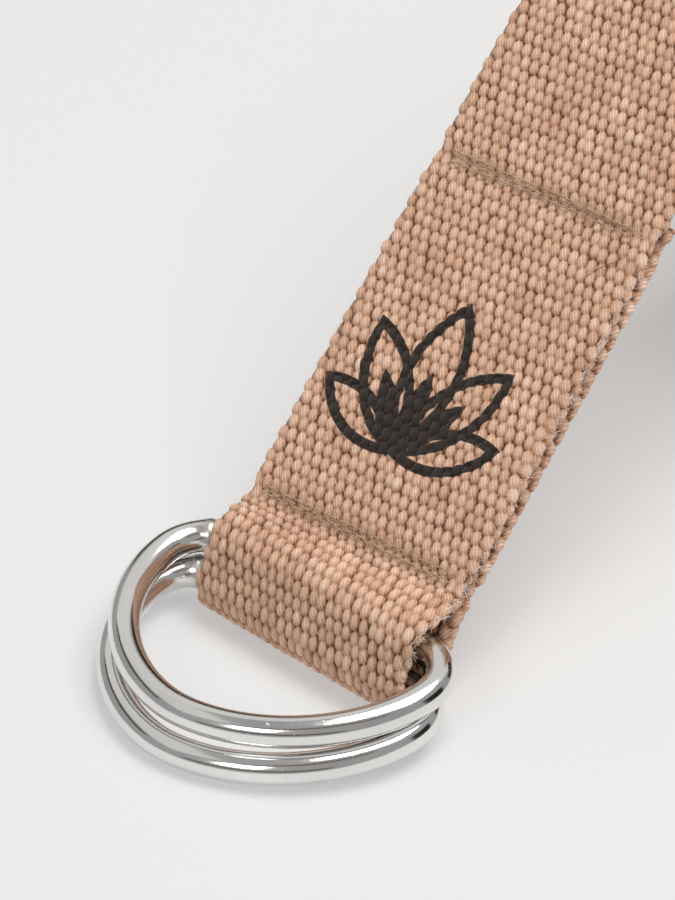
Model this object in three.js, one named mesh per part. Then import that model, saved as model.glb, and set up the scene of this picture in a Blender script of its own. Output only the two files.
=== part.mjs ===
// Stretching strap: one length of heavy cotton webbing with two D-rings sewn into a loop at one end.
//
// Millimetres, +Z up. X runs across the webbing, +Y runs along it from the rings to the roll, and z = 0 is
// the surface that the strap lies on. The origin is the middle of the loop's flat underside. The ring end
// lies on the surface, the sewn tab climbs straight up, and the strap then bends over onto the top of its
// rolled-up length. The free end is hemmed and sits in the core of the roll.

import * as THREE from "three";

// ---------------------------------------------------------------- driving dimensions

const WEBBING_WIDTH = 38;
const WEBBING_THICKNESS = 2.2;
const FINISHED_LENGTH = 3050; // front of the ring loop to the hemmed end
const LAYER_GAP = 0.3; // between two pieces that touch on the real strap

const RING_WIRE = 4.5;
const RING_HALF_WIDTH = 24.7; // centreline
const RING_DEPTH = 30.4; // centreline, bar to the middle of the bow
const RING_CORNER_RADIUS = 7.1; // centreline, where the bar turns into the bow
const BOW_EXPONENT = 1.84; // 2 is an ellipse
const RING_CLEARANCE = 0.5; // between a bar and the webbing round it
const RING_SKEW = THREE.MathUtils.degToRad(-4.2); // the rings lie askew in their loop
const RING_SIDE_SHIFT = 0.5;
const UPPER_RING_SHIFT = new THREE.Vector3(0.2, 2.4, RING_WIRE + 0.35); // from the lower ring
const BAR_Y = -0.9; // lower ring's bar; the loop's flat underside runs from here to as far behind the origin

const TAB_RISE = THREE.MathUtils.degToRad(41.5);
const TAB_FOOT = new THREE.Vector2(7.8 + BAR_Y, 15.9); // ring seam, on the top surface
const TAB_START = -0.7; // distances up the tab start at the ring seam
const SEAM_SPACING = 53.7;
const RETURN_END = 58; // raw end of the layer that comes back under the tab
const FLEX_AT = 65; // where the single layer bends as the tab is lifted
const FLEX_GAP = 1.6;
const LEAD_STRAIGHT = 91; // beyond this the strap bends over onto the top of the roll
const LEAD_STEPS = 8;

const ROLL_PITCH = 2.75; // one turn to the next
const ROLL_STEPS = 25; // flats in one turn; an odd number, so that one lies level at the bottom
const CORE_RADIUS = 10; // mid-surface of the innermost turn
const HEM_LENGTH = 25;
const HEM_SEAM_FROM_FOLD = 18;

const THREAD = 0.5;
const HEM_THREAD = 0.35; // fits between two turns
const SEAM_ROWS = [0.3, 1.5]; // the rows of one seam, up the tab
const SEAM_DENT = 0.4; // how far a seam pulls the surface in
const SEAM_DENT_LENGTH = 2.6;
const SEAM_MARGIN = 2; // selvage to the first stitch
const STITCH = 3;
const THREAD_SIDES = 5;

// ---------------------------------------------------------------- the strap's side view

const HALF_THICKNESS = WEBBING_THICKNESS / 2;
const tabDirection = new THREE.Vector2(Math.cos(TAB_RISE), Math.sin(TAB_RISE));
const tabNormal = new THREE.Vector2(-Math.sin(TAB_RISE), Math.cos(TAB_RISE));

// A point of the tab's side view: its distance up the tab, and its height over the top surface.
function tabPoint(up, height) {
  return TAB_FOOT.clone().addScaledVector(tabDirection, up).addScaledVector(tabNormal, height);
}

const FRONT_LAYER_MIDDLE = -HALF_THICKNESS;
const BACK_LAYER_MIDDLE = -1.5 * WEBBING_THICKNESS - LAYER_GAP;

// The two sides of a strip of webbing along a mid-line, as one closed outline.
function outlineAlong(points) {
  const tangents = points.map((point, i) => {
    const before = points[Math.max(i - 1, 0)];
    const after = points[Math.min(i + 1, points.length - 1)];
    return after.clone().sub(before).normalize();
  });
  const side = (sign) =>
    points.map((point, i) =>
      new THREE.Vector2(
        point.x - sign * HALF_THICKNESS * tangents[i].y,
        point.y + sign * HALF_THICKNESS * tangents[i].x,
      ),
    );
  return [...side(-1), ...side(1).reverse()];
}

// A side view (x is the part's Y, y is its Z) made solid over the webbing's width.
function acrossWidth(outline) {
  const geometry = new THREE.ExtrudeGeometry(new THREE.Shape(outline), {
    depth: WEBBING_WIDTH,
    bevelEnabled: false,
  });
  geometry.translate(0, 0, -WEBBING_WIDTH / 2);
  return geometry.applyMatrix4(
    new THREE.Matrix4().makeBasis(
      new THREE.Vector3(0, 1, 0),
      new THREE.Vector3(0, 0, 1),
      new THREE.Vector3(1, 0, 0),
    ),
  );
}

// One layer of the tab. Each seam pulls its outer surface in along a shallow, flat-bottomed channel.
function tabLayer(middle, outerSign, end) {
  const outer = middle + outerSign * HALF_THICKNESS;
  const inner = middle - outerSign * HALF_THICKNESS;
  const dented = outer - outerSign * SEAM_DENT;
  const [firstRow, lastRow] = SEAM_ROWS;
  const margin = (SEAM_DENT_LENGTH - (lastRow - firstRow)) / 2;
  const ringSeamEnd = lastRow + margin;
  const endSeam = [SEAM_SPACING + firstRow - margin, SEAM_SPACING + lastRow + margin];
  const outline = [
    tabPoint(TAB_START, inner),
    tabPoint(end, inner),
    tabPoint(end, outer),
    tabPoint(endSeam[1] + SEAM_DENT, outer),
    tabPoint(endSeam[1], dented),
    tabPoint(endSeam[0], dented),
    tabPoint(endSeam[0] - SEAM_DENT, outer),
    tabPoint(ringSeamEnd + SEAM_DENT, outer),
    tabPoint(ringSeamEnd, dented),
    tabPoint(TAB_START, dented),
  ];
  return acrossWidth(outerSign > 0 ? outline : outline.reverse());
}

// ---------------------------------------------------------------- the loop round the rings' bars

const RING_RADIUS = RING_WIRE / 2;
const lowerBar = new THREE.Vector3(
  RING_SIDE_SHIFT,
  BAR_Y,
  WEBBING_THICKNESS + RING_CLEARANCE + RING_RADIUS,
);
const upperBar = lowerBar.clone().add(UPPER_RING_SHIFT);
const RING_TILT = -Math.asin((lowerBar.z - RING_RADIUS) / RING_DEPTH); // the lower bow rests on the surface

const WRAP_RADIUS = RING_RADIUS + RING_CLEARANCE + HALF_THICKNESS;
const WRAP_START = THREE.MathUtils.degToRad(100); // where the webbing meets the upper bar
const wrapTurn = Math.atan2(upperBar.z - lowerBar.z, upperBar.y - lowerBar.y) + Math.PI / 2;

// Mid-line of the loop: over the upper bar, down the front, under the lower bar and up to the seam.
function loopMiddle() {
  const start = TAB_START - LAYER_GAP;
  const front = tabPoint(start, FRONT_LAYER_MIDDLE);
  const back = tabPoint(start, BACK_LAYER_MIDDLE);
  const overBar = new THREE.Vector2(
    upperBar.y + WRAP_RADIUS * Math.cos(WRAP_START),
    upperBar.z + WRAP_RADIUS * Math.sin(WRAP_START),
  );
  const valley = front.clone().addScaledVector(tabDirection, -1);
  const shoulder = new THREE.Vector2(
    overBar.x + 2.5 * Math.sin(WRAP_START),
    overBar.y - 2.5 * Math.cos(WRAP_START),
  );
  const underside = new THREE.Vector2(-BAR_Y, HALF_THICKNESS);
  const heel = new THREE.Vector2(underside.x + 4.8, HALF_THICKNESS);
  const backWall = back.clone().addScaledVector(tabDirection, -3);
  const path = new THREE.Path();
  path.moveTo(front.x, front.y);
  path.bezierCurveTo(valley.x, valley.y, shoulder.x, shoulder.y, overBar.x, overBar.y);
  path.absarc(upperBar.y, upperBar.z, WRAP_RADIUS, WRAP_START, wrapTurn, false);
  path.absarc(lowerBar.y, lowerBar.z, WRAP_RADIUS, wrapTurn, 1.5 * Math.PI, false);
  path.lineTo(underside.x, underside.y);
  path.bezierCurveTo(heel.x, heel.y, backWall.x, backWall.y, back.x, back.y);
  return path.getPoints(9);
}

// The loop hugs the bars, so its front is as askew as they are, and its seam is square.
function hugBars(geometry) {
  const position = geometry.attributes.position;
  const point = new THREE.Vector2();
  for (let i = 0; i < position.count; i++) {
    point.set(position.getY(i), position.getZ(i)).sub(TAB_FOOT);
    const fromSeam = -point.dot(tabDirection);
    const hug = THREE.MathUtils.smoothstep(fromSeam, LAYER_GAP - TAB_START, 5);
    const skew = (position.getX(i) - RING_SIDE_SHIFT) * Math.tan(RING_SKEW);
    position.setY(i, position.getY(i) + hug * skew);
  }
  return geometry;
}

// ---------------------------------------------------------------- the lead and the roll

// The roll's turns run inwards at one pitch, clockwise in the side view from its top, where the lead meets
// it level. It stands on the surface on the flat that is half a turn down.
const LOOP_FRONT = lowerBar.y - WRAP_RADIUS - HALF_THICKNESS;
const CONTACT_ANGLE = Math.PI / 2;
const STANDING_TURNS = Math.floor(ROLL_STEPS / 2) / ROLL_STEPS;
const leadBend = tabPoint(LEAD_STRAIGHT, FRONT_LAYER_MIDDLE);

function centreHeight(radius) {
  const standing = radius - STANDING_TURNS * ROLL_PITCH + HALF_THICKNESS;
  return standing * Math.cos(Math.PI / ROLL_STEPS);
}

function bendRadius(radius) {
  return (centreHeight(radius) + radius - leadBend.y) / (1 - Math.cos(TAB_RISE));
}

function rollRadius(bend) {
  const ahead = TAB_FOOT.x - LOOP_FRONT + LEAD_STRAIGHT + bend * TAB_RISE;
  return Math.sqrt(CORE_RADIUS ** 2 + ((FINISHED_LENGTH - ahead) * ROLL_PITCH) / Math.PI);
}

let LEAD_BEND_RADIUS = 100;
for (let i = 0; i < 20; i++) {
  LEAD_BEND_RADIUS = bendRadius(rollRadius(LEAD_BEND_RADIUS));
}
const ROLL_RADIUS = rollRadius(LEAD_BEND_RADIUS);
const bendCentre = leadBend.clone().addScaledVector(tabNormal, -LEAD_BEND_RADIUS);
const rollCentre = new THREE.Vector2(bendCentre.x, centreHeight(ROLL_RADIUS));
const ROLL_TURNS = (ROLL_RADIUS - CORE_RADIUS) / ROLL_PITCH;

// Mid-line of the lead: straight on from the flex, then over to the roll.
function leadMiddle() {
  const stop = LAYER_GAP / LEAD_BEND_RADIUS;
  const over = Array.from({ length: LEAD_STEPS + 1 }, (_, i) => {
    const angle = CONTACT_ANGLE + stop + (TAB_RISE - stop) * (1 - i / LEAD_STEPS);
    return new THREE.Vector2(
      bendCentre.x + LEAD_BEND_RADIUS * Math.cos(angle),
      bendCentre.y + LEAD_BEND_RADIUS * Math.sin(angle),
    );
  });
  return [tabPoint(FLEX_AT + FLEX_GAP / 2, FRONT_LAYER_MIDDLE), ...over];
}

// A point of the winding's mid-line, by the turns wound since the lead met it.
function windingPoint(turns, inset = 0) {
  const radius = ROLL_RADIUS - turns * ROLL_PITCH - inset;
  const angle = CONTACT_ANGLE - 2 * Math.PI * turns;
  return new THREE.Vector2(
    rollCentre.x + radius * Math.cos(angle),
    rollCentre.y + radius * Math.sin(angle),
  );
}

function windingPoints(from, to, inset) {
  const count = Math.ceil((to - from) * ROLL_STEPS);
  return Array.from({ length: count + 1 }, (_, i) =>
    windingPoint(Math.min(from + i / ROLL_STEPS, to), inset),
  );
}

const HEM_INSET = WEBBING_THICKNESS + LAYER_GAP;
const HEM_TURNS = HEM_LENGTH / (2 * Math.PI * (CORE_RADIUS - HEM_INSET));

// ---------------------------------------------------------------- rings

// A D-ring's centreline in its own plane: the bar lies on X and the bow points to -Y.
class RingLine extends THREE.Curve {
  getPoint(t, target = new THREE.Vector3()) {
    const { outline } = this;
    const at = t * outline.length;
    const i = Math.floor(at) % outline.length;
    const next = (i + 1) % outline.length;
    const point = outline[i].clone().lerp(outline[next], at - Math.floor(at));
    return target.set(point.x, point.y, 0);
  }

  constructor() {
    super();
    const corner = RING_CORNER_RADIUS;
    const bend = (sign) =>
      Array.from({ length: 7 }, (_, i) => {
        const angle = (i / 6) * (Math.PI / 2);
        return new THREE.Vector2(
          sign * (RING_HALF_WIDTH - corner + corner * Math.sin(angle)),
          -corner + corner * Math.cos(angle),
        );
      });
    const bow = Array.from({ length: 33 }, (_, i) => {
      const angle = (i / 32) * Math.PI;
      const reach = Math.abs(Math.cos(angle)) ** (2 / BOW_EXPONENT);
      const drop = Math.sin(angle) ** (2 / BOW_EXPONENT);
      return new THREE.Vector2(
        Math.sign(Math.cos(angle)) * RING_HALF_WIDTH * reach,
        -corner - (RING_DEPTH - corner) * drop,
      );
    });
    this.outline = [...bend(1), ...bow, ...bend(-1).reverse()];
  }
}

function ringGeometry() {
  return new THREE.TubeGeometry(new RingLine(), 72, RING_RADIUS, 10, true);
}

function placeRing(mesh, bar) {
  mesh.position.copy(bar);
  mesh.rotation.set(-RING_TILT, 0, RING_SKEW, "ZXY");
  return mesh;
}

// ---------------------------------------------------------------- seam threads

// A row of lockstitch goes across, turns, and comes back beside itself. Each stitch is a low hump.
function stitchRun(place, thickness) {
  const reach = WEBBING_WIDTH / 2 - SEAM_MARGIN;
  const stitches = Math.round((2 * reach) / STITCH);
  const points = [];
  SEAM_ROWS.forEach((up, row) => {
    for (let i = 0; i <= 2 * stitches; i++) {
      const x = (row ? -1 : 1) * (-reach + (i * reach) / stitches);
      points.push(place(x, up, (i % 2) * 0.1));
    }
  });
  const round = new THREE.Shape(
    Array.from({ length: THREAD_SIDES }, (_, i) => {
      const angle = (i / THREAD_SIDES) * 2 * Math.PI;
      return new THREE.Vector2(
        (thickness / 2) * Math.cos(angle),
        (thickness / 2) * Math.sin(angle),
      );
    }),
  );
  return new THREE.ExtrudeGeometry(round, {
    extrudePath: new THREE.CatmullRomCurve3(points, false, "catmullrom", 0.3),
    steps: 44,
    bevelEnabled: false,
  });
}

// Threads of the tab's seams lie in the channels, just clear of the webbing.
function tabThread(seam, outerSign) {
  const surface = outerSign > 0 ? 0 : BACK_LAYER_MIDDLE - HALF_THICKNESS;
  const lift = THREAD / 2 + 0.1 - SEAM_DENT;
  return stitchRun((x, up, hump) => {
    const point = tabPoint(seam + up, surface + outerSign * (lift + hump));
    return new THREE.Vector3(x, point.x, point.y);
  }, THREAD);
}

// Threads of the tail's hem: one lies in the gap outside the last turn, the other inside the core.
function hemThread(inset, humpSign) {
  const coreLength = 2 * Math.PI * CORE_RADIUS;
  return stitchRun((x, up, hump) => {
    const turns = ROLL_TURNS - (HEM_SEAM_FROM_FOLD - up) / coreLength;
    const point = windingPoint(turns, inset + humpSign * hump);
    return new THREE.Vector3(x, point.x, point.y);
  }, HEM_THREAD);
}

// ---------------------------------------------------------------- materials and pieces

const cotton = { color: "#bd9580", roughness: 0.95, metalness: 0 };
const threadFinish = { color: "#9c8668", roughness: 0.8, metalness: 0 };
const chrome = { color: "#d4d3d1", roughness: 0.08, metalness: 1 };

const strap = new THREE.Group();

function add(name, geometry, finish) {
  const mesh = new THREE.Mesh(geometry, new THREE.MeshStandardMaterial(finish));
  mesh.name = name;
  strap.add(mesh);
  return mesh;
}

placeRing(add("ring_upper", ringGeometry(), chrome), upperBar);
placeRing(add("ring_lower", ringGeometry(), chrome), lowerBar);

add("webbing_ring_loop", hugBars(acrossWidth(outlineAlong(loopMiddle()))), cotton);
add("webbing_tab_front", tabLayer(FRONT_LAYER_MIDDLE, 1, FLEX_AT - FLEX_GAP / 2), cotton);
add("webbing_tab_back", tabLayer(BACK_LAYER_MIDDLE, -1, RETURN_END), cotton);
add("webbing_lead", acrossWidth(outlineAlong(leadMiddle())), cotton);
add("webbing_roll", acrossWidth(outlineAlong(windingPoints(0, ROLL_TURNS, 0))), cotton);
add(
  "webbing_tail_hem",
  acrossWidth(outlineAlong(windingPoints(ROLL_TURNS - HEM_TURNS, ROLL_TURNS, HEM_INSET))),
  cotton,
);

add("ring_seam_needle_thread", tabThread(0, 1), threadFinish);
add("ring_seam_bobbin_thread", tabThread(0, -1), threadFinish);
add("end_seam_needle_thread", tabThread(SEAM_SPACING, 1), threadFinish);
add("end_seam_bobbin_thread", tabThread(SEAM_SPACING, -1), threadFinish);

const outsideCore = -ROLL_PITCH / 2;
const insideCore = HEM_INSET + HALF_THICKNESS + HEM_THREAD;
add("tail_hem_needle_thread", hemThread(insideCore, 1), threadFinish);
add("tail_hem_bobbin_thread", hemThread(outsideCore, 0), threadFinish);

export default strap;
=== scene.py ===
# %% [markdown]
# # A stretching strap
# The strap is one long piece of heavy cotton webbing. Its end is folded round two steel D-rings and sewn
# down twice. The CAD model gives the exact places of everything, and this lesson builds the looks on top
# of it. We load that model first and never move it: new pieces are made where it says.

# %% Load the frame
import math

import bpy
import numpy as np
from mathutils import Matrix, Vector


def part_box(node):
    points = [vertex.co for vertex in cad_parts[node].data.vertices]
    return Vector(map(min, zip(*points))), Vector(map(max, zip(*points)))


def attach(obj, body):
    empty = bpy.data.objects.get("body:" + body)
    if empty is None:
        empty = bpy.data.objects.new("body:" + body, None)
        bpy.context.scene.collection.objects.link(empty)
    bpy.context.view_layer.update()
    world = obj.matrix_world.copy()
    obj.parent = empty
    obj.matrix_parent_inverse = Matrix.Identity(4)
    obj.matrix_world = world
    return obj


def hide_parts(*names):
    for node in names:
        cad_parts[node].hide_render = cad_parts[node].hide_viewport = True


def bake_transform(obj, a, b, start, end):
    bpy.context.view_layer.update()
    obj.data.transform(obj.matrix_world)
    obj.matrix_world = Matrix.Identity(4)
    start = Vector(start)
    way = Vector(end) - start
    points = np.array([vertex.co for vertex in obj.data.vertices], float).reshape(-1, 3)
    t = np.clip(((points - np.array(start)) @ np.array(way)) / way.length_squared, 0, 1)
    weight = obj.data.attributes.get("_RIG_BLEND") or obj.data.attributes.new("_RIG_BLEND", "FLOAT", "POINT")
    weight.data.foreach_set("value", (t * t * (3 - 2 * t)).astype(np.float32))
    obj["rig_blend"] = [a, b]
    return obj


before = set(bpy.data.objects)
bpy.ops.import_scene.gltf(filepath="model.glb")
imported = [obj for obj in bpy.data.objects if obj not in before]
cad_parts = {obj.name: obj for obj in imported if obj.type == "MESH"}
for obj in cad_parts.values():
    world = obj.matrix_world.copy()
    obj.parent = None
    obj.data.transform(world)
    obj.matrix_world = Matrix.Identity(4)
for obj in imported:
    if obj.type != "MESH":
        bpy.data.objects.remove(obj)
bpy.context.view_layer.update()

MM = 0.001

# %% [markdown]
# ## Camera
# A long lens far away keeps the strap's edges nearly parallel. The colours are shown without a film
# curve, so that the white studio stays white.

# %% Camera
AZIMUTH = math.radians(40.13)
ELEVATION = math.radians(34.60)
CAMERA_DISTANCE = 0.8386
AIM = Vector((-0.01159, 0.01756, 0.020))
SENSOR_WIDTH = 36
FOCAL_LENGTH = 322

backwards = Vector((
    math.sin(AZIMUTH) * math.cos(ELEVATION),
    -math.cos(AZIMUTH) * math.cos(ELEVATION),
    math.sin(ELEVATION),
))
camera = bpy.data.objects.new("camera", bpy.data.cameras.new("camera"))
camera.data.sensor_fit = "HORIZONTAL"
camera.data.sensor_width = SENSOR_WIDTH
camera.data.lens = FOCAL_LENGTH
camera.location = AIM + backwards * CAMERA_DISTANCE
camera.rotation_euler = (-backwards).to_track_quat("-Z", "Y").to_euler()
bpy.context.collection.objects.link(camera)
bpy.context.scene.camera = camera
bpy.context.scene.view_settings.view_transform = "Standard"
print("camera at", [round(x, 3) for x in camera.location])

# %% [markdown]
# ## A small helper for materials
# A material is a net of nodes. Written by hand that gets long, so one small class wraps a socket: sums and
# products of wrapped sockets add Math nodes by themselves, and one method makes any other node.

# %% Shader sockets as values
class Wire:
    def __init__(self, tree, socket=None):
        self.tree = tree
        self.socket = socket

    def node(self, kind, settings=(), sockets=(), output=0):
        made = self.tree.nodes.new("ShaderNode" + kind)
        for name, value in dict(settings).items():
            if name == "stops":
                self.set_stops(made.color_ramp.elements, value)
            else:
                setattr(made, name, value)
        for name, value in dict(sockets).items():
            if isinstance(value, Wire):
                self.tree.links.new(value.socket, made.inputs[name])
            else:
                made.inputs[name].default_value = value
        return Wire(self.tree, made.outputs[output]) if made.outputs else made

    def set_stops(self, elements, stops):
        while len(elements) < len(stops):
            elements.new(1)
        for element, (position, colour) in zip(elements, stops):
            element.position = position
            element.color = (*colour, 1)

    def math(self, operation, *values):
        return self.node("Math", {"operation": operation}, dict(enumerate(values)))

    def __add__(self, other):
        return self.math("ADD", self, other)

    def __sub__(self, other):
        return self.math("SUBTRACT", self, other)

    def __rsub__(self, other):
        return self.math("SUBTRACT", other, self)

    def __mul__(self, other):
        return self.math("MULTIPLY", self, other)

    __radd__ = __add__
    __rmul__ = __mul__

    def smooth(self, low, high):
        sockets = {"Value": self, "From Min": low, "From Max": high}
        return self.node("MapRange", {"interpolation_type": "SMOOTHSTEP"}, sockets)

    def ramp(self, value, *stops):
        return self.node("ValToRGB", {"stops": stops}, {0: value})

    def bump(self, height, strength, depth):
        sockets = {"Height": height, "Strength": strength, "Distance": depth * MM}
        return self.node("Bump", {}, sockets)

    def mix(self, factor, other, blend="MIX"):
        sockets = {0: factor, 6: self, 7: other}
        return self.node("Mix", {"data_type": "RGBA", "blend_type": blend}, sockets, output=2)


# %% [markdown]
# Three short helpers go with it. They open a material, close it with its shader, and turn everyday screen
# colours into the linear ones that shaders use.

# %% Opening and closing a material
def new_material(name):
    material = bpy.data.materials.new(name)
    material.use_nodes = True
    material.node_tree.nodes.clear()
    return material, Wire(material.node_tree)


def finish_material(net, shader):
    output = net.tree.nodes.new("ShaderNodeOutputMaterial")
    net.tree.links.new(shader.socket, output.inputs["Surface"])


def srgb(red, green, blue):
    """A colour from 0-255 screen values to the linear values that shaders use."""
    return tuple((value / 255) ** 2.2 for value in (red, green, blue))


print("mid grey is", [round(value, 3) for value in srgb(128, 128, 128)], "in linear light")

# %% [markdown]
# ## Floor, sky and lamps
# The strap lies on pale studio paper. The paper glows a little, which keeps its shadows faint. The main
# lamp is broad and hangs behind and to the right, so the loop's crest is bright and its front is in
# shade. A weak lamp at the front fills the dark side.

# %% Floor, sky and lamps
FLOOR_SIZE = 6
FLOOR_WHITE = 0.40
FLOOR_GLOW = 0.37
FLOOR_DROP = 0.05
SKY_STRENGTH = 0.36


def flat_sheet(name, width, height):
    mesh = bpy.data.meshes.new(name)
    w, h = width / 2, height / 2
    mesh.from_pydata([(-w, -h, 0), (w, -h, 0), (w, h, 0), (-w, h, 0)], [], [(0, 1, 2, 3)])
    return bpy.data.objects.new(name, mesh)


floor = flat_sheet("floor", FLOOR_SIZE, FLOOR_SIZE)
floor.location.z = -FLOOR_DROP * MM
bpy.context.collection.objects.link(floor)
paper, net = new_material("studio_paper")
shader = net.node("BsdfPrincipled", {}, {
    "Base Color": (FLOOR_WHITE, FLOOR_WHITE, FLOOR_WHITE, 1),
    "Roughness": 1.0,
    "Specular IOR Level": 0.0,
    "Emission Color": (1, 1, 1, 1),
    "Emission Strength": FLOOR_GLOW,
})
finish_material(net, shader)
floor.data.materials.append(paper)

world = bpy.data.worlds.new("studio")
world.use_nodes = True
sky = world.node_tree.nodes["Background"].inputs
sky["Color"].default_value = (1, 0.995, 0.985, 1)
sky["Strength"].default_value = SKY_STRENGTH
bpy.context.scene.world = world


def soft_lamp(name, place, aim, size, power, colour=(1, 1, 1)):
    lamp = bpy.data.objects.new(name, bpy.data.lights.new(name, "AREA"))
    lamp.data.shape = "RECTANGLE"
    lamp.data.size, lamp.data.size_y = size
    lamp.data.energy = power
    lamp.data.color = colour
    lamp.location = place
    lamp.rotation_euler = (Vector(aim) - Vector(place)).to_track_quat("-Z", "Y").to_euler()
    bpy.context.collection.objects.link(lamp)
    return lamp


STRAP_MIDDLE = (0, 0.03, 0)
soft_lamp("overhead_lamp", (0.34, 0.34, 1.42), STRAP_MIDDLE, (1.0, 1.0), 19.5, (1, 0.985, 0.955))
soft_lamp("front_lamp", (0.2, -1.3, 1.0), STRAP_MIDDLE, (0.5, 0.5), 5.0)
print("floor", FLOOR_SIZE, "m wide, two lamps")

# %% [markdown]
# Polished steel shows what stands round it. In a studio that is white cards with dark gaps between
# them, so a few white and dark cards stand where only mirror-like surfaces can see them.

# %% Cards for the steel
def studio_card(name, azimuth, elevation, width, height, shade, distance=1.0):
    """A glowing card that faces the strap. It shows in reflections only and lights nothing."""
    a, e = math.radians(azimuth), math.radians(elevation)
    place = Vector((math.sin(a) * math.cos(e), -math.cos(a) * math.cos(e), math.sin(e))) * distance
    card = flat_sheet(name, width, height)
    card.location = place
    card.rotation_euler = place.to_track_quat("Z", "Y").to_euler()
    material, net = new_material(name)
    finish_material(net, net.node("Emission", {}, {"Color": (*shade, 1), "Strength": 1.0}))
    card.data.materials.append(material)
    card.visible_camera = False
    card.visible_diffuse = False
    card.visible_shadow = False
    bpy.context.collection.objects.link(card)


studio_card("card_behind", 200, 18, 1.9, 0.34, (0.045, 0.030, 0.020))
studio_card("card_left", 285, 30, 0.8, 0.12, (0.05, 0.034, 0.024))
studio_card("white_card_behind", 215, 50, 2.0, 0.62, (0.70, 0.69, 0.67), 1.1)
studio_card("white_card_left", 295, 52, 1.4, 0.60, (0.66, 0.65, 0.63), 1.2)
studio_card("card_right", 120, 12, 0.5, 0.6, (0.02, 0.017, 0.015))
studio_card("card_above", 36, 54, 1.2, 0.12, (0.12, 0.070, 0.040))
studio_card("card_front", 20, 15, 1.4, 0.13, (0.06, 0.037, 0.022))

# %% [markdown]
# ## The strap seen from the side
# All the webbing follows one line: from the raw end under the tab, down and round the two bars, up the
# tab, and over onto the roll. We draw that line once in the plane of the side view, with the CAD model's
# own dimensions, and then sweep the width of the webbing along it.

# %% Sizes of the strap, in millimetres
WIDTH = 38.0
THICKNESS = 2.2
LAYER_GAP = 0.3
HALF = THICKNESS / 2
WIRE_RADIUS = 2.25
RING_CLEARANCE = 0.5
RING_SKEW = math.radians(-4.2)
SIDE_SHIFT = 0.5
LOWER_BAR = np.array([-0.9, THICKNESS + RING_CLEARANCE + WIRE_RADIUS])
UPPER_BAR = LOWER_BAR + [2.4, 4.85]
TAB_RISE = math.radians(41.5)
TAB_FOOT = np.array([6.9, 15.9])
TAB_START = -0.7
SEAM_SPACING = 53.7
RETURN_END = 58.0
LEAD_STRAIGHT = 91.0
ROLL_PITCH = 2.75
HEM_LENGTH = 25.0
WRAP_RADIUS = WIRE_RADIUS + RING_CLEARANCE + HALF
print("webbing", WIDTH, "by", THICKNESS, "mm, wraps the bars at radius", WRAP_RADIUS)

along_tab = np.array([math.cos(TAB_RISE), math.sin(TAB_RISE)])
off_tab = np.array([-math.sin(TAB_RISE), math.cos(TAB_RISE)])


def tab_point(up, height):
    return TAB_FOOT + up * along_tab + height * off_tab


# %% [markdown]
# Two kinds of curve draw the loop: arcs where the webbing hugs a bar, and Bezier curves where it hangs
# free between a bar and the seam.

# %% Curves of the side view
def bezier(a, b, c, d, count=40):
    t = np.linspace(0, 1, count)[:, None]
    return (1 - t) ** 3 * a + 3 * t * (1 - t) ** 2 * b + 3 * t * t * (1 - t) * c + t**3 * d


def arc(centre, radius, start, stop, count=60):
    angle = np.linspace(start, stop, count)
    return np.stack([centre[0] + radius * np.cos(angle), centre[1] + radius * np.sin(angle)], 1)


FRONT_LEVEL = -HALF
BACK_LEVEL = -1.5 * THICKNESS - LAYER_GAP
WRAP_START = math.radians(100)
wrap_turn = math.atan2(*(UPPER_BAR - LOWER_BAR)[::-1]) + math.pi / 2
front_foot = tab_point(TAB_START - LAYER_GAP, FRONT_LEVEL)
back_foot = tab_point(TAB_START - LAYER_GAP, BACK_LEVEL)
over_bar = UPPER_BAR + WRAP_RADIUS * np.array([math.cos(WRAP_START), math.sin(WRAP_START)])
shoulder = over_bar + 2.5 * np.array([math.sin(WRAP_START), -math.cos(WRAP_START)])
underside = np.array([-LOWER_BAR[0], HALF])
loop_line = np.concatenate([
    bezier(back_foot, back_foot - 3 * along_tab, underside + [4.8, 0], underside),
    arc(LOWER_BAR, WRAP_RADIUS, 1.5 * math.pi, wrap_turn),
    arc(UPPER_BAR, WRAP_RADIUS, wrap_turn, WRAP_START),
    bezier(over_bar, shoulder, front_foot - along_tab, front_foot),
])
print("loop drawn with", len(loop_line), "points")

# %% [markdown]
# The roll is a spiral: each turn lies one pitch inside the last. Its centre and its outer radius are
# worked out from the height of the lead's top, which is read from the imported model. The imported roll's own
# box is printed beside them, so that the two can be compared.

# %% Roll and lead
roll_low, roll_high = (np.array(corner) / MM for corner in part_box("webbing_roll"))
lead_high = np.array(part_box("webbing_lead")[1]) / MM
bend_start = tab_point(LEAD_STRAIGHT, FRONT_LEVEL)
contact_height = lead_high[2] - HALF
bend_radius = (contact_height - bend_start[1]) / (1 - math.cos(TAB_RISE))
bend_centre = bend_start - bend_radius * off_tab
ROLL_STEPS = 25
standing_turns = (ROLL_STEPS // 2) / ROLL_STEPS
flat = math.cos(math.pi / ROLL_STEPS)
roll_radius = (contact_height + (standing_turns * ROLL_PITCH - HALF) * flat) / (1 + flat)
roll_centre = np.array([bend_centre[0], contact_height - roll_radius])
CORE_RADIUS = 10.0
roll_turns = (roll_radius - CORE_RADIUS) / ROLL_PITCH
print("roll radius", round(roll_radius, 2), "turns", round(roll_turns, 2), "centre", roll_centre.round(2))
print("packed roll from", roll_low.round(2), "to", roll_high.round(2))


def winding(first, last, inset=0.0, step=0.004):
    turns = np.arange(first, last + step / 2, step)
    radius = roll_radius - turns * ROLL_PITCH - inset
    angle = math.pi / 2 - 2 * math.pi * turns
    return np.stack([roll_centre[0] + radius * np.cos(angle), roll_centre[1] + radius * np.sin(angle)], 1)


# %% [markdown]
# A line is more useful when it can be asked for the place and the direction at any distance along it.
# This class measures the line once. Distance zero is the seam next to the rings.

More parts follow.
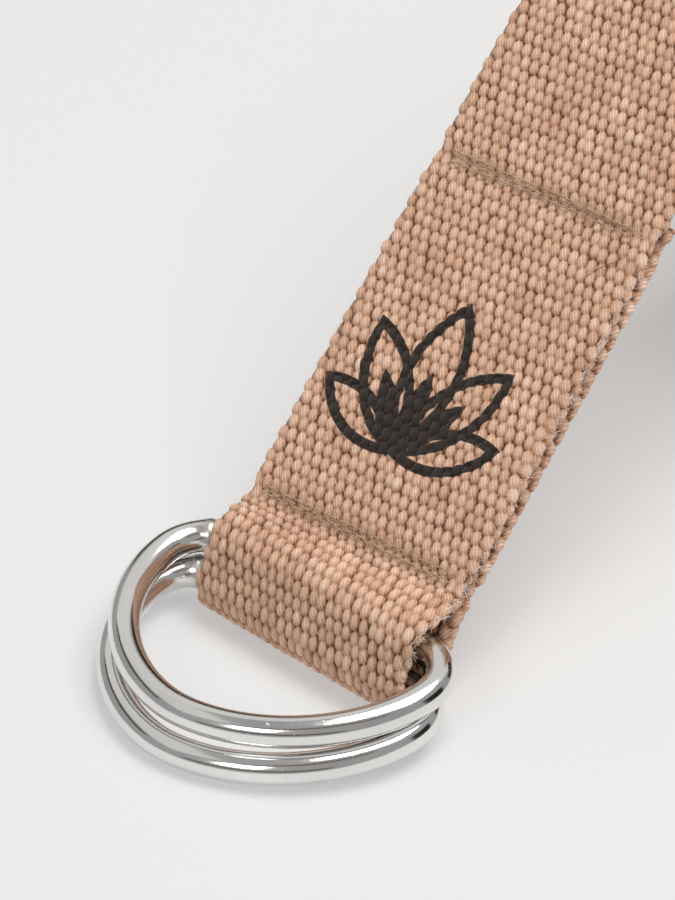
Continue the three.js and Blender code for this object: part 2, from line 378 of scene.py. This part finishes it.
# %% A line that knows its own length
class SideLine:
    def __init__(self, points, zero_near=None):
        keep = np.r_[True, np.linalg.norm(np.diff(points, axis=0), axis=1) > 1e-6]
        self.points = points[keep]
        steps = np.linalg.norm(np.diff(self.points, axis=0), axis=1)
        self.distance = np.r_[0, np.cumsum(steps)]
        if zero_near is not None:
            near = np.linalg.norm(self.points - zero_near, axis=1).argmin()
            self.distance = self.distance - self.distance[near]

    def at(self, s):
        return np.stack([np.interp(s, self.distance, self.points[:, k]) for k in (0, 1)], 1)

    def outward(self, s, reach=0.5):
        ahead = self.at(np.minimum(s + reach, self.distance[-1]))
        behind = self.at(np.maximum(s - reach, self.distance[0]))
        along = ahead - behind
        along /= np.linalg.norm(along, axis=1)[:, None]
        return np.stack([-along[:, 1], along[:, 0]], 1)


FIRST_TURN = 1.0
up_tab = np.linspace(TAB_START, LEAD_STRAIGHT, 200)
main_line = SideLine(np.concatenate([
    np.array([tab_point(up, BACK_LEVEL) for up in np.linspace(RETURN_END, TAB_START, 120)]),
    loop_line,
    np.array([tab_point(up, FRONT_LEVEL) for up in up_tab]),
    arc(bend_centre, bend_radius, math.pi / 2 + TAB_RISE, math.pi / 2),
    winding(0, FIRST_TURN),
]), zero_near=tab_point(0, FRONT_LEVEL))
inner_line = SideLine(winding(FIRST_TURN, roll_turns))
print("main line from", main_line.distance[[0, -1]].round(1))
print("inner turns", inner_line.distance[-1].round(1))

# %% [markdown]
# ## Heavy plain weave
# The surface of this webbing is packed with plump oval bumps, one where each warp yarn comes up over the
# weft. Neighbouring rows are shifted by half a bump, like bricks. The bumps are real geometry here: each
# point of the sheet asks how high the nearest bump stands above it, and moves out by that much. Small
# random differences between bumps keep the cloth from looking printed.

# %% The height of the weave
ACROSS_PITCH = 1.57
ROW_PITCH = 1.85
BUMP_HALF_WIDTH = 0.78
BUMP_HALF_LENGTH = 1.15
BUMP_SQUARENESS = 2.3
BUMP_LEAN = 0.10
PLACE_SPREAD = 0.05
SIZE_SPREAD = 0.07
TABLE_ROWS, TABLE_COLUMNS = 512, 64
YARN_TABLE = np.random.default_rng(7).normal(size=(TABLE_ROWS, TABLE_COLUMNS, 4))


def weave(q, v, count):
    """Bump height from 0 to 1, and each bump's own shade, at distance q round the section and v along."""
    height = np.zeros_like(q)
    shade = np.zeros_like(q)
    near_row = np.round(v / ROW_PITCH).astype(int)
    for row in (near_row - 1, near_row, near_row + 1):
        stagger = 0.5 * (row % 2)
        near_column = np.round(q / ACROSS_PITCH - stagger).astype(int)
        for column in (near_column - 1, near_column, near_column + 1):
            own = YARN_TABLE[row % TABLE_ROWS, (column % count) % TABLE_COLUMNS]
            dq = q - (column + stagger + PLACE_SPREAD * own[..., 0]) * ACROSS_PITCH
            dv = v - (row + PLACE_SPREAD * own[..., 1]) * ROW_PITCH
            dq = dq + BUMP_LEAN * dv
            beside = np.abs(dq / BUMP_HALF_WIDTH) ** BUMP_SQUARENESS
            beyond = np.abs(dv / BUMP_HALF_LENGTH) ** BUMP_SQUARENESS
            inside = 1 - beside - beyond
            dome = np.sqrt(np.clip(inside, 0, None)) * (1 + SIZE_SPREAD * own[..., 2])
            higher = dome > height
            shade = np.where(higher, own[..., 3], shade)
            height = np.where(higher, dome, height)
    return height, shade


print("bumps every", ACROSS_PITCH, "mm across and", ROW_PITCH, "mm along")

# %% [markdown]
# Sewing pulls the layers together, so each seam lies in a shallow trough where the bumps are flattened.

# %% Seam troughs
SEAM_ROWS = (0.3, 1.5)
TROUGH_DEPTH = 0.20
TROUGH_HALF_WIDTH = 1.5


def trough(up):
    """1 in the middle of a seam and 0 away from it."""
    middle = sum(SEAM_ROWS) / 2
    depth = np.zeros_like(up)
    for seam in (0, SEAM_SPACING):
        depth += np.exp(-(((up - seam - middle) / TROUGH_HALF_WIDTH) ** 4))
    return depth


print("depth beside and on the first seam:", trough(np.array([10.0, sum(SEAM_ROWS) / 2])).round(2))

# %% [markdown]
# ## From line to sheet
# The section of the webbing is a flat strip with rounded selvages. Sweeping it along the line gives rows
# of points, and joining neighbouring rows with faces closes the sheet. The edge waves in and out a
# little, because the weft turns back there once every two rows.

# %% The section
FLAT_LEVEL = HALF - 0.55
BUMP_HEIGHT = 0.66
EDGE_DEPTH = 0.95
EDGE_SLACK = 0.25
SCALLOP = 0.16
SEAM_FLATTENING = 0.45


def section(across_step, edge_points):
    """Across and outward places round the strip, which way is out, and the distance round it."""
    reach = WIDTH / 2 - EDGE_SLACK - EDGE_DEPTH
    flat_count = int(2 * reach / across_step)
    across = np.linspace(-reach, reach, flat_count)
    turn = np.linspace(math.pi / 2, -math.pi / 2, edge_points + 2)[1:-1]
    edge = np.stack([reach + EDGE_DEPTH * np.cos(turn), FLAT_LEVEL * np.sin(turn)], 1)
    edge_out = np.stack([np.cos(turn), np.sin(turn)], 1)
    top = np.stack([across, np.full(flat_count, FLAT_LEVEL)], 1)
    up = np.tile([0.0, 1.0], (flat_count, 1))
    place = np.concatenate([top, edge, -top, -edge])
    out = np.concatenate([up, edge_out, -up, -edge_out])
    step = np.linalg.norm(place - np.roll(place, 1, 0), axis=1)
    round_it = np.cumsum(step) - step[0]
    return place, out, round_it, step.sum(), flat_count


HUG_START = 1.0
HUG_LENGTH = 4.0


def hug_bars(points):
    """Shears the loop's front with the rings, which lie askew in it."""
    from_seam = -((points[:, 1:] - TAB_FOOT) @ along_tab)
    t = np.clip((from_seam - HUG_START) / HUG_LENGTH, 0, 1)
    hug = t * t * (3 - 2 * t)
    points[:, 1] += hug * (points[:, 0] - SIDE_SHIFT) * math.tan(RING_SKEW)
    return points


def link(name, mesh):
    piece = bpy.data.objects.new(name, mesh)
    bpy.context.collection.objects.link(piece)
    return piece


def make_mesh(name, points, faces):
    mesh = bpy.data.meshes.new(name)
    mesh.from_pydata((points * MM).tolist(), [], faces)
    mesh.shade_smooth()
    return mesh


def set_vector(mesh, name, values):
    layer = mesh.attributes.new(name, "FLOAT_VECTOR", "POINT")
    layer.data.foreach_set("vector", values.astype(np.float32).ravel())


print("flat level", round(FLAT_LEVEL, 2), "mm, bump tops", round(FLAT_LEVEL + BUMP_HEIGHT, 2), "mm")

# %% [markdown]
# The sweep works on all points at once: rows run along the strap and columns go round its section. Two
# layers of numbers stay with the mesh for the material. One holds the place on the strap, and the other
# holds the bump's height, its own shade and how far a seam presses it down.

# %% The sweep
def end_caps(index, flat_count, edge_points):
    """Faces that close the two cut ends, in strips that join the top face to the underside."""
    rows, ring = index.shape
    far = (flat_count + edge_points + flat_count - 1 - np.arange(flat_count)) % ring
    caps = []
    for row, flip in ((0, 1), (rows - 1, -1)):
        ends = index[row].tolist()
        for k in range(flat_count - 1):
            caps.append([ends[k], ends[k + 1], ends[far[k + 1]], ends[far[k]]][::flip])
        caps.append(ends[flat_count - 1:flat_count + edge_points + 1][::flip])
        caps.append((ends[2 * flat_count + edge_points - 1:] + [ends[0]])[::flip])
    return caps


def webbing(name, line, stations, across_step, edge_points, row_offset=0.0):
    place, out, round_it, girth, flat_count = section(across_step, edge_points)
    count = round(girth / ACROSS_PITCH)
    middle = line.at(stations)
    normal = line.outward(stations)
    s, q = np.meshgrid(stations, round_it * (count * ACROSS_PITCH / girth), indexing="ij")
    height, shade = weave(q, s + row_offset, count)
    up = (middle - TAB_FOOT) @ along_tab
    pressed = trough(up)
    wave = np.abs(np.sin(math.pi * (s + row_offset) / (2 * ROW_PITCH)))
    flattened = 1 - SEAM_FLATTENING * pressed[:, None]
    rise = BUMP_HEIGHT * height * flattened - TROUGH_DEPTH * pressed[:, None]
    rise = rise + SCALLOP * wave * np.abs(out[:, 0])
    x = place[:, 0] + rise * out[:, 0]
    n = place[:, 1] + rise * out[:, 1]
    yz = middle[:, None, :] + n[..., None] * normal[:, None, :]
    points = hug_bars(np.concatenate([x[..., None], yz], 2).reshape(-1, 3))
    points[:, 2] = np.maximum(points[:, 2], 0)
    rows, ring = s.shape
    index = np.arange(rows * ring).reshape(rows, ring)
    beside = np.roll(index, -1, 1)
    quads = np.stack([index[:-1], index[1:], beside[1:], beside[:-1]], -1).reshape(-1, 4)
    mesh = make_mesh(name, points, quads.tolist() + end_caps(index, flat_count, edge_points))
    set_vector(mesh, "strap", np.stack([x, s, n], -1).reshape(-1, 3))
    press = np.broadcast_to(pressed[:, None], s.shape)
    set_vector(mesh, "yarn", np.stack([height, shade, press], -1).reshape(-1, 3))
    print(name, rows, "rows of", ring, "points")
    return link(name, mesh)


FINE_STEP = 0.21
ROLL_STEP = 0.62
ROLL_ACROSS_STEP = 2.6
main_end = main_line.distance[-1]
main_stations = np.arange(main_line.distance[0], main_end, FINE_STEP)
strap_webbing = webbing("strap_webbing", main_line, main_stations, FINE_STEP, 9)
inner_stations = np.arange(0, inner_line.distance[-1], ROLL_STEP)
roll_webbing = webbing("roll_webbing", inner_line, inner_stations, ROLL_ACROSS_STEP, 7, main_end)

# %% [markdown]
# The hem at the free end lies in the core of the roll: the last of the webbing folded back on itself.

# %% The tail hem
HEM_INSET = THICKNESS + LAYER_GAP
hem_turns = HEM_LENGTH / (2 * math.pi * (CORE_RADIUS - HEM_INSET))
hem_line = SideLine(winding(roll_turns - hem_turns, roll_turns, HEM_INSET))
HEM_STEP = 0.4
HEM_ACROSS_STEP = 0.6
hem_stations = np.arange(0, hem_line.distance[-1], HEM_STEP)
tail_hem_webbing = webbing("tail_hem_webbing", hem_line, hem_stations, HEM_ACROSS_STEP, 7)

# %% [markdown]
# ## The printed mark
# The cloth carries a plain leaf motif between its seams. Each petal is the overlap of two circles, so one
# short formula tells how far a place is from its edge, and a petal's outline is a band beside that edge.

# %% Printed lotus
INK = srgb(24, 22, 22)
INK_GLOSS = 0.34
LOTUS_FOOT = (-1.5, 12.5)
LOTUS_STROKE = 0.75
LOTUS_PETALS = ((0, 24, 9.5), (34, 21, 8.5), (-34, 21, 8.5), (66, 17, 7), (-66, 17, 7))
LOTUS_LEAF = (13, 3.6)
LEAF_TURNS = (0, 34, -34)


def petal(net, u, v, angle, length, width):
    """Below 0 inside a pointed petal that grows from the motif's foot, in millimetres."""
    c, s = math.cos(angle), math.sin(angle)
    x = u * c - v * s
    y = u * s + v * c - length / 2
    radius = (length**2 / 4 + width**2 / 4) / width
    sideways = net.math("ABSOLUTE", x) + (radius - width / 2)
    return net.math("SQRT", sideways * sideways + y * y) - radius


def printed_lotus(net, u, v):
    """1 where the ink lies: five outlined petals over three solid leaf blades, all plain arcs."""
    u = u - LOTUS_FOOT[0]
    v = v - LOTUS_FOOT[1]
    shapes = []
    for turn, length, width in LOTUS_PETALS:
        edge = petal(net, u, v, math.radians(turn), length, width)
        shapes.append(net.math("ABSOLUTE", edge + LOTUS_STROKE) - LOTUS_STROKE)
    for turn in LEAF_TURNS:
        shapes.append(petal(net, u, v, math.radians(turn), *LOTUS_LEAF))
    ink = shapes[0]
    for shape in shapes[1:]:
        ink = net.math("MINIMUM", ink, shape)
    return 1 - ink.smooth(-0.07, 0.07)


print("petals", len(LOTUS_PETALS), "leaf blades", len(LEAF_TURNS))

# %% [markdown]
# ## Cotton
# Cotton yarn is matt and a little furry. The colour follows the height that the sweep stored: painted
# shade makes the pits between the bumps dark brown, and a painted highlight makes the bump tops pale. Each
# yarn is twisted from thinner ones, which shows as fine slanting lines, too small for geometry and right
# for a bump map.

# %% Cotton material
# Painted shade and painted highlight: the cotton runs from a dark shaded pit, through flank and top, to a
# pale lit crest.
PAINTED_PIT_SHADE = srgb(96, 62, 44)
FLANK = srgb(186, 142, 114)
TOP = srgb(226, 184, 156)
PAINTED_TOP_HIGHLIGHT = srgb(246, 216, 194)
PLY_WIDTH = 0.42
COTTON_ROUGHNESS = 0.96


def cotton(name, printed):
    material, net = new_material(name)
    strap = net.node("Attribute", {"attribute_name": "strap"}, {}, output=1)
    yarn = net.node("Attribute", {"attribute_name": "yarn"}, {}, output=1)
    u = net.node("SeparateXYZ", {}, {0: strap}, output=0)
    v = net.node("SeparateXYZ", {}, {0: strap}, output=1)
    side = net.node("SeparateXYZ", {}, {0: strap}, output=2)
    height = net.node("SeparateXYZ", {}, {0: yarn}, output=0)
    shade = net.node("SeparateXYZ", {}, {0: yarn}, output=1)
    stretched = net.node("CombineXYZ", {}, {0: u * 5.5, 1: v * 1.8, 2: side * 4})
    fine_noise = {"Vector": stretched, "Scale": 1.0, "Detail": 3.0, "Roughness": 0.65}
    fibre = net.node("TexNoise", {}, fine_noise)
    cloud = net.node("TexNoise", {}, {"Vector": strap, "Scale": 0.12, "Detail": 2.0})
    slant = (u * 0.9 + v * 0.55) * (2 * math.pi / PLY_WIDTH) + fibre * 5.0
    ply = net.math("SINE", slant) * 0.5 + 0.5
    # Bump height raises the colour level, which paints shade into the pits and a highlight onto the tops.
    level = height * 0.80 + fibre * 0.46 + ply * 0.20 + shade * 0.035 - 0.30
    colour = net.ramp(level, (0.0, PAINTED_PIT_SHADE), (0.34, FLANK), (0.72, TOP), (1.0, PAINTED_TOP_HIGHLIGHT))
    tint = net.ramp(cloud, (0.3, srgb(238, 232, 230)), (0.7, srgb(255, 255, 255)))
    colour = colour.mix(1.0, tint, "MULTIPLY")
    roughness = COTTON_ROUGHNESS
    if printed:
        on_top = side.smooth(0.2, 0.5)
        soaked = (height + fibre * 0.6).smooth(0.34, 0.50)
        ink = printed_lotus(net, u, v) * on_top * soaked
        colour = colour.mix(ink * 0.97, (*INK, 1))
        roughness = COTTON_ROUGHNESS - ink * INK_GLOSS
    bump = net.bump(fibre * 0.6 + ply * 0.4, 1.0, 0.22)
    shader = net.node("BsdfPrincipled", {}, {
        "Base Color": colour,
        "Roughness": roughness,
        "Specular IOR Level": 0.25,
        "Sheen Weight": 0.12,
        "Sheen Roughness": 0.5,
        "Normal": bump,
    })
    finish_material(net, shader)
    return material


strap_webbing.data.materials.append(cotton("printed_cotton", True))
plain_cotton = cotton("plain_cotton", False)
for piece in (roll_webbing, tail_hem_webbing):
    piece.data.materials.append(plain_cotton)
print("cotton nodes:", len(strap_webbing.data.materials[0].node_tree.nodes))

# %% [markdown]
# ## Tubes
# Rings, threads and loose fibres are all thin tubes along a line. One helper sweeps a round section along
# a line. It carries its frame from point to point, so that the section doesn't twist, and it can vary the
# radius. A second helper joins many tubes into one piece.

# %% The tube helper
def tube(line, radius, sides, closed=False):
    line = np.asarray(line, float)
    radius = np.broadcast_to(radius, len(line))
    ahead = np.roll(line, -1, 0) - np.roll(line, 1, 0)
    if not closed:
        ahead[0] = line[1] - line[0]
        ahead[-1] = line[-1] - line[-2]
    ahead /= np.linalg.norm(ahead, axis=1)[:, None]
    lift = np.cross(ahead[0], [0.31, 0.17, 0.94])
    rings = []
    for point, direction, r in zip(line, ahead, radius):
        lift = lift - direction * (lift @ direction)
        lift /= np.linalg.norm(lift)
        other = np.cross(direction, lift)
        turn = np.linspace(0, 2 * math.pi, sides, endpoint=False)[:, None]
        rings.append(point + r * (np.cos(turn) * lift + np.sin(turn) * other))
    count = len(line)
    index = np.arange(count * sides).reshape(count, sides)
    if closed:
        index = np.concatenate([index, index[:1]])
    beside = np.roll(index, -1, 1)
    faces = np.stack([index[:-1], beside[:-1], beside[1:], index[1:]], -1).reshape(-1, 4).tolist()
    if not closed:
        faces.append(index[0][::-1].tolist())
        faces.append(index[-1].tolist())
    return np.concatenate(rings), faces


def joined_tubes(name, tubes):
    points, faces, start = [], [], 0
    for tube_points, tube_faces in tubes:
        points.append(tube_points)
        faces += [[corner + start for corner in face] for face in tube_faces]
        start += len(tube_points)
    return link(name, make_mesh(name, np.concatenate(points), faces))


print("a test tube has", len(tube([(0, 0, 0), (1, 0, 0), (2, 0, 0)], 1.0, 6)[0]), "points")

# %% [markdown]
# ## D-rings
# Each ring is one bent steel wire, butt-welded beside its bar and then chromed. The bar turns into the bow
# through a tight corner, and the bow is a slightly full ellipse. The weld leaves a rough bead.

# %% Ring shapes
RING_HALF_WIDTH = 24.7
RING_DEPTH = 30.4
RING_CORNER = 7.1
BOW_EXPONENT = 1.84
RING_TILT = math.asin((LOWER_BAR[1] - WIRE_RADIUS) / RING_DEPTH)
WELD_AT = -21.4
BEAD_REACH, BEAD_SWELL, BEAD_ROUGHNESS = 1.1, 0.10, 0.05
NOTCH_REACH, NOTCH_DEPTH = 0.28, 0.22
WIRE_SIDES = 36
FAR_AWAY = 99


def ring_line(count=420):
    turn = np.linspace(0, math.pi / 2, 40)
    corner = np.stack([
        RING_HALF_WIDTH - RING_CORNER + RING_CORNER * np.sin(turn),
        -RING_CORNER + RING_CORNER * np.cos(turn),
    ], 1)
    sweep = np.linspace(0, math.pi, 240)[1:-1]
    power = 2 / BOW_EXPONENT
    bow = np.stack([
        np.sign(np.cos(sweep)) * RING_HALF_WIDTH * np.abs(np.cos(sweep)) ** power,
        -RING_CORNER - (RING_DEPTH - RING_CORNER) * np.sin(sweep) ** power,
    ], 1)
    outline = np.concatenate([corner, bow, (corner * [-1, 1])[::-1], corner[:1]])
    length = np.r_[0, np.cumsum(np.linalg.norm(np.diff(outline, axis=0), axis=1))]
    even = np.linspace(0, length[-1], count, endpoint=False)
    return np.stack([np.interp(even, length, outline[:, k]) for k in (0, 1)], 1)


def place_ring(flat_points, side, bar):
    """From the ring's own plane to the strap: tilted so that the bow drops, and turned askew."""
    y, z = flat_points[:, 1], flat_points[:, 2]
    c, s = math.cos(RING_TILT), math.sin(RING_TILT)
    tilted = np.stack([flat_points[:, 0], y * c - z * s, y * s + z * c], 1)
    c, s = math.cos(RING_SKEW), math.sin(RING_SKEW)
    x, y = tilted[:, 0].copy(), tilted[:, 1].copy()
    tilted[:, 0], tilted[:, 1] = x * c - y * s, x * s + y * c
    return tilted + [side, *bar]


def d_ring(name, side, bar, seed):
    line = ring_line()
    rough = np.random.default_rng(seed)
    from_weld = np.where(line[:, 1] > -RING_CORNER, np.abs(line[:, 0] - WELD_AT), FAR_AWAY)
    bead = np.exp(-((from_weld / BEAD_REACH) ** 2))
    notch = np.exp(-((from_weld / NOTCH_REACH) ** 2))
    radius = WIRE_RADIUS * (1 + BEAD_SWELL * bead) - NOTCH_DEPTH * notch
    flat_points, faces = tube(np.c_[line, np.zeros(len(line))], radius, WIRE_SIDES, closed=True)
    weight = np.repeat(bead, WIRE_SIDES)
    flat_points += weight[:, None] * rough.normal(scale=BEAD_ROUGHNESS, size=flat_points.shape)
    mesh = make_mesh(name, place_ring(flat_points, side, bar), faces)
    set_vector(mesh, "wire", np.stack([weight, *flat_points[:, :2].T], 1))
    return link(name, mesh)


upper_ring = d_ring("upper_d_ring", SIDE_SHIFT + 0.2, UPPER_BAR, 3)
lower_ring = d_ring("lower_d_ring", SIDE_SHIFT, LOWER_BAR, 5)
print("ring wire", 2 * WIRE_RADIUS, "mm, tilt", round(math.degrees(RING_TILT), 1), "degrees")

# %% [markdown]
# Chrome plate is a mirror with faint faults: hazy patches and fine dull specks. The weld bead is duller
# and a little yellow.

# %% Chrome material
chrome, net = new_material("chrome_plate")
wire = net.node("Attribute", {"attribute_name": "wire"}, {}, output=1)
weld = net.node("SeparateXYZ", {}, {0: wire}, output=0)
where = net.node("TexCoord", {}, {}, output=3)
haze = net.node("TexNoise", {}, {"Vector": where, "Scale": 90.0, "Detail": 4.0})
grain = net.node("TexNoise", {}, {"Vector": where, "Scale": 1400.0, "Detail": 3.0})
spots = grain.smooth(0.66, 0.74) * 0.25
steel = net.ramp(haze, (0.3, (0.74, 0.73, 0.72)), (0.7, (0.84, 0.84, 0.83)))
bead_colour = steel.mix(weld * 0.7, (0.42, 0.37, 0.30, 1))
shader = net.node("BsdfPrincipled", {}, {
    "Base Color": bead_colour,
    "Metallic": 1.0,
    "Roughness": haze * 0.10 + 0.07 + weld * 0.30 + spots,
    "Normal": net.bump(haze * 0.8 + grain * 0.25 * (1 + weld * 4), 0.10, 0.2),
})
finish_material(net, shader)
for piece in (upper_ring, lower_ring):
    piece.data.materials.append(chrome)
print("chrome nodes:", len(chrome.node_tree.nodes))

# %% [markdown]
# ## Seams
# Both seams on the tab are sewn over three times with a tan thread, and the hem twice. The needle wanders,
# so the rows cross here and there. Each stitch rises from the cloth, lies over it, and dips at the next
# hole.

# %% Stitches
THREAD_RADIUS = 0.13
THREAD_SIDES = 7
STITCH = 2.6
STITCH_GAP = 0.1
STITCH_LIFT, STITCH_SINK = 0.40, 0.32
SEAM_REACH = 17.0
WANDER = 0.10
WANDER_LIMIT = 0.5
HEM_SEAM_FROM_END = 18.0


def seam_threads(name, place, seed, passes=3, thread=THREAD_RADIUS):
    """Rows of stitches. place(across, up, height) gives a point of the strap."""
    hand = np.random.default_rng(seed)
    stitches = []
    for sewn in range(passes):
        holes = np.arange(-SEAM_REACH, SEAM_REACH + STITCH / 2, STITCH) + hand.uniform(0, STITCH / 2)
        holes = holes[holes < SEAM_REACH + 0.4]
        up = SEAM_ROWS[0] + (SEAM_ROWS[1] - SEAM_ROWS[0]) * sewn / max(passes - 1, 1)
        wander = up + np.cumsum(hand.normal(scale=WANDER, size=len(holes)))
        wander = np.clip(wander, SEAM_ROWS[0] - WANDER_LIMIT, SEAM_ROWS[1] + WANDER_LIMIT)
        for a, b, up_a, up_b in zip(holes[:-1], holes[1:], wander[:-1], wander[1:]):
            t = np.linspace(0, 1, 9)
            lift = STITCH_LIFT * np.sin(math.pi * t) ** 0.6 - STITCH_SINK
            across = a + STITCH_GAP + (b - a - 2 * STITCH_GAP) * t
            line = [place(x, u, h) for x, u, h in zip(across, up_a + (up_b - up_a) * t, lift)]
            stitches.append(tube(line, thread, THREAD_SIDES))
    return joined_tubes(name, stitches)


def on_front(seam):
    return lambda x, up, height: np.array([x, *tab_point(seam + up, height)])


def on_back(seam):
    level = BACK_LEVEL - HALF
    return lambda x, up, height: np.array([x, *tab_point(seam + up, level - height)])


def on_hem(inset, outward):
    def place(x, up, height):
        turns = roll_turns - (HEM_SEAM_FROM_END - up) / (2 * math.pi * CORE_RADIUS)
        radius = roll_radius - turns * ROLL_PITCH - inset + outward * height
        angle = math.pi / 2 - 2 * math.pi * turns
        y = roll_centre[0] + radius * math.cos(angle)
        z = roll_centre[1] + radius * math.sin(angle)
        return np.array([x, y, z])

    return place


ring_seam_front = seam_threads("ring_seam_needle_stitches", on_front(0), 11)
ring_seam_back = seam_threads("ring_seam_bobbin_stitches", on_back(0), 12)
end_seam_front = seam_threads("end_seam_needle_stitches", on_front(SEAM_SPACING), 13)
end_seam_back = seam_threads("end_seam_bobbin_stitches", on_back(SEAM_SPACING), 14)
hem_front = seam_threads("tail_hem_needle_stitches", on_hem(HEM_INSET + HALF, -1), 15, passes=2)
hem_back = seam_threads("tail_hem_bobbin_stitches", on_hem(-HALF, 1), 16, passes=2, thread=0.12)
print("stitch length", STITCH, "mm, thread", 2 * THREAD_RADIUS, "mm thick")

# %% [markdown]
# Spun thread is dull and slightly uneven in colour. It is too thin for twist in geometry, so a fine noise
# breaks up its tone and its surface.

# %% Thread material
thread_material, net = new_material("sewing_thread")
where = net.node("TexCoord", {}, {}, output=3)
twist = net.node("TexNoise", {}, {"Vector": where, "Scale": 2600.0, "Detail": 3.0})
tone = net.ramp(twist, (0.3, srgb(136, 112, 86)), (0.7, srgb(192, 164, 134)))
surface = {"Base Color": tone, "Roughness": 0.8, "Normal": net.bump(twist, 0.5, 0.05)}
finish_material(net, net.node("BsdfPrincipled", {}, surface))
stitch_rows = (ring_seam_front, ring_seam_back, end_seam_front, end_seam_back, hem_front, hem_back)
for piece in stitch_rows:
    piece.data.materials.append(thread_material)
print("threads dressed:", len(stitch_rows))

# %% [markdown]
# ## Fuzz
# Cotton sheds fine fibres, which stand out along the selvages. Hundreds of very thin tubes make them, with
# more on the right edge than on the left.

# %% Loose fibres
FUZZ_COUNT = 760
FUZZ_RADIUS = 0.024
FUZZ_FROM, FUZZ_TO = -18.0, 52.0
FUZZ_ROOT = 18.7
RIGHT_SHARE = 0.7


def strap_point(u, v, height):
    middle = main_line.at(np.array([v]))[0]
    normal = main_line.outward(np.array([v]))[0]
    point = np.array([[u, *(middle + height * normal)]])
    return hug_bars(point)[0]


def fibres(name, count, seed, radius, low, high):
    hand = np.random.default_rng(seed)
    hairs = []
    for _ in range(count):
        side = hand.choice([-1, 1], p=[1 - RIGHT_SHARE, RIGHT_SHARE])
        v = hand.uniform(low, high)
        u = side * (FUZZ_ROOT + hand.uniform(0, 0.25))
        level = hand.uniform(-0.6, 0.8)
        t = np.linspace(0, 1, 5)
        reach = hand.uniform(0.3, 1.0)
        lean = hand.normal(scale=0.7)
        curl = hand.normal(scale=0.35)
        line = [
            strap_point(u + side * reach * k, v + lean * k + curl * k**2, level + curl * k)
            for k in t
        ]
        hairs.append(tube(line, radius, 3))
    return joined_tubes(name, hairs)


def mottled(name, scale, dark, light, roughness):
    material, net = new_material(name)
    where = net.node("TexCoord", {}, {}, output=3)
    noise = net.node("TexNoise", {}, {"Vector": where, "Scale": scale})
    tone = net.ramp(noise, (0.3, dark), (0.7, light))
    surface = {"Base Color": tone, "Roughness": roughness}
    finish_material(net, net.node("BsdfPrincipled", {}, surface))
    return material


tab_fuzz = fibres("selvage_fuzz_tab", FUZZ_COUNT, 21, FUZZ_RADIUS, FUZZ_FROM, FUZZ_TO)
pale_fibre = mottled("loose_fibre", 300.0, srgb(240, 226, 216), srgb(255, 250, 244), 0.9)
tab_fuzz.data.materials.append(pale_fibre)
print("loose fibres:", FUZZ_COUNT)

# %% [markdown]
# One dark hair has caught near the upper seam. It is longer and thicker than the fuzz, and a little bent.

# %% Caught hair
HAIR_ROOT = (12.6, 46.2)
HAIR_RUN = (3.8, 4.8)
HAIR_HEIGHT = HALF + 0.30
HAIR_RADIUS = 0.05
caught = [
    strap_point(
        HAIR_ROOT[0] + HAIR_RUN[0] * t,
        HAIR_ROOT[1] + HAIR_RUN[1] * t + 0.3 * math.sin(5 * t),
        HAIR_HEIGHT,
    )
    for t in np.linspace(0, 1, 12)
]
caught_hair = joined_tubes("caught_hair", [tube(caught, HAIR_RADIUS, 5)])
dark_hair = mottled("dark_hair", 500.0, srgb(92, 66, 50), srgb(124, 92, 72), 0.8)
caught_hair.data.materials.append(dark_hair)
print("caught hair about", round(math.hypot(*HAIR_RUN), 1), "mm long")

# %% [markdown]
# ## Fastening the pieces to the model
# Every piece now says which body of the moving model it follows. The strap's webbing bends between the
# tab and the roll, in a short stretch at the hinge above the upper seam. The plain CAD pieces that a new
# piece stands for are hidden.

# %% Bodies and replaced pieces
FLEX_FROM = Vector((0, 0.0540, 0.0581))
FLEX_TO = Vector((0, 0.0640, 0.0581))
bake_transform(strap_webbing, "tab", "roll", start=FLEX_FROM, end=FLEX_TO)
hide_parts("webbing_ring_loop", "webbing_tab_front", "webbing_tab_back", "webbing_lead")
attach(roll_webbing, "roll")
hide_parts("webbing_roll")
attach(tail_hem_webbing, "roll")
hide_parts("webbing_tail_hem")
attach(upper_ring, "upper_ring")
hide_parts("ring_upper")
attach(lower_ring, "lower_ring")
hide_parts("ring_lower")
stitch_nodes = (
    "ring_seam_needle_thread",
    "ring_seam_bobbin_thread",
    "end_seam_needle_thread",
    "end_seam_bobbin_thread",
    "tail_hem_needle_thread",
    "tail_hem_bobbin_thread",
)
for piece, node in zip(stitch_rows, stitch_nodes):
    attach(piece, "roll" if node.startswith("tail") else "tab")
    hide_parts(node)
for piece in (tab_fuzz, caught_hair):
    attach(piece, "tab")

# %% [markdown]
# The webbing is cloth, so its flat size is worked out. The real strap is one length, and the three
# stretches below add up to it.

# %% Flat sizes
def flat_size(line):
    return (WIDTH * MM, float(line.distance[-1] - line.distance[0]) * MM)


flat_size(main_line)
flat_size(inner_line)
flat_size(hem_line)
lengths = [round(flat_size(line)[1], 4) for line in (main_line, inner_line, hem_line)]
print("lengths of webbing in metres:", lengths, "sum", round(sum(lengths), 4))
